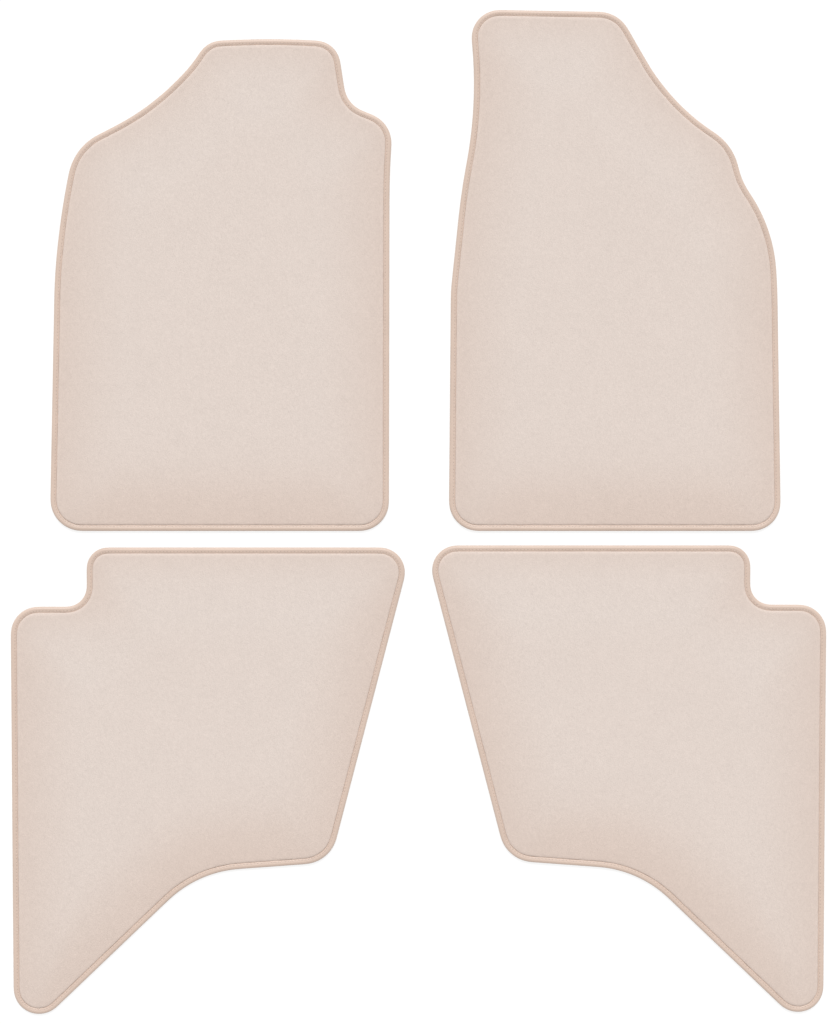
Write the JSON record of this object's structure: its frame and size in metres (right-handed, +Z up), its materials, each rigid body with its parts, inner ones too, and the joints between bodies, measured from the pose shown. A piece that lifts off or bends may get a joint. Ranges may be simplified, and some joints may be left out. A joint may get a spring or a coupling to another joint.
{
  "type": "floor mat set",
  "caption": "Cut-to-shape velour floor mats for a two-row cab, with stitched leatherette edge binding and a nibbed anti-slip rubber backing; they lie loose in the footwells.",
  "frame": {"origin": "on the floor, at the middle of the laid-out set's bounding box", "axes": "+Y towards the front of the vehicle, +X towards its right-hand side, +Z up from the floor"},
  "size_m": [1.1834, 1.4573, 0.007],
  "materials": {
    "velour": "short dense velour pile with a soft nap",
    "carrier_cloth": "plain woven carrier cloth",
    "anti_slip_rubber": "matt rubber with small nibs",
    "binding_leatherette": "satin leatherette tape with a fine grain",
    "sewing_thread": "twisted polyester sewing thread"
  },
  "bodies": {
    "driver_mat": {"driver_rubber_backing": "anti_slip_rubber", "driver_woven_carrier": "carrier_cloth", "driver_velour_pile": "velour", "driver_edge_binding": "binding_leatherette", "driver_needle_thread": "sewing_thread", "driver_bobbin_thread": "sewing_thread"},
    "passenger_mat": {"passenger_rubber_backing": "anti_slip_rubber", "passenger_woven_carrier": "carrier_cloth", "passenger_velour_pile": "velour", "passenger_edge_binding": "binding_leatherette", "passenger_needle_thread": "sewing_thread", "passenger_bobbin_thread": "sewing_thread"},
    "rear_left_mat": {"rear_left_rubber_backing": "anti_slip_rubber", "rear_left_woven_carrier": "carrier_cloth", "rear_left_velour_pile": "velour", "rear_left_edge_binding": "binding_leatherette", "rear_left_needle_thread": "sewing_thread", "rear_left_bobbin_thread": "sewing_thread"},
    "rear_right_mat": {"rear_right_rubber_backing": "anti_slip_rubber", "rear_right_woven_carrier": "carrier_cloth", "rear_right_velour_pile": "velour", "rear_right_edge_binding": "binding_leatherette", "rear_right_needle_thread": "sewing_thread", "rear_right_bobbin_thread": "sewing_thread"}
  },
  "joints": [
    {"name": "passenger_mat_lift", "type": "slide", "parent": "driver_mat", "child": "passenger_mat", "axis": [0, 0, 1], "range_m": [0, 0.3]},
    {"name": "rear_left_mat_lift", "type": "slide", "parent": "driver_mat", "child": "rear_left_mat", "axis": [0, 0, 1], "range_m": [0, 0.3]},
    {"name": "rear_right_mat_lift", "type": "slide", "parent": "driver_mat", "child": "rear_right_mat", "axis": [0, 0, 1], "range_m": [0, 0.3]}
  ]
}
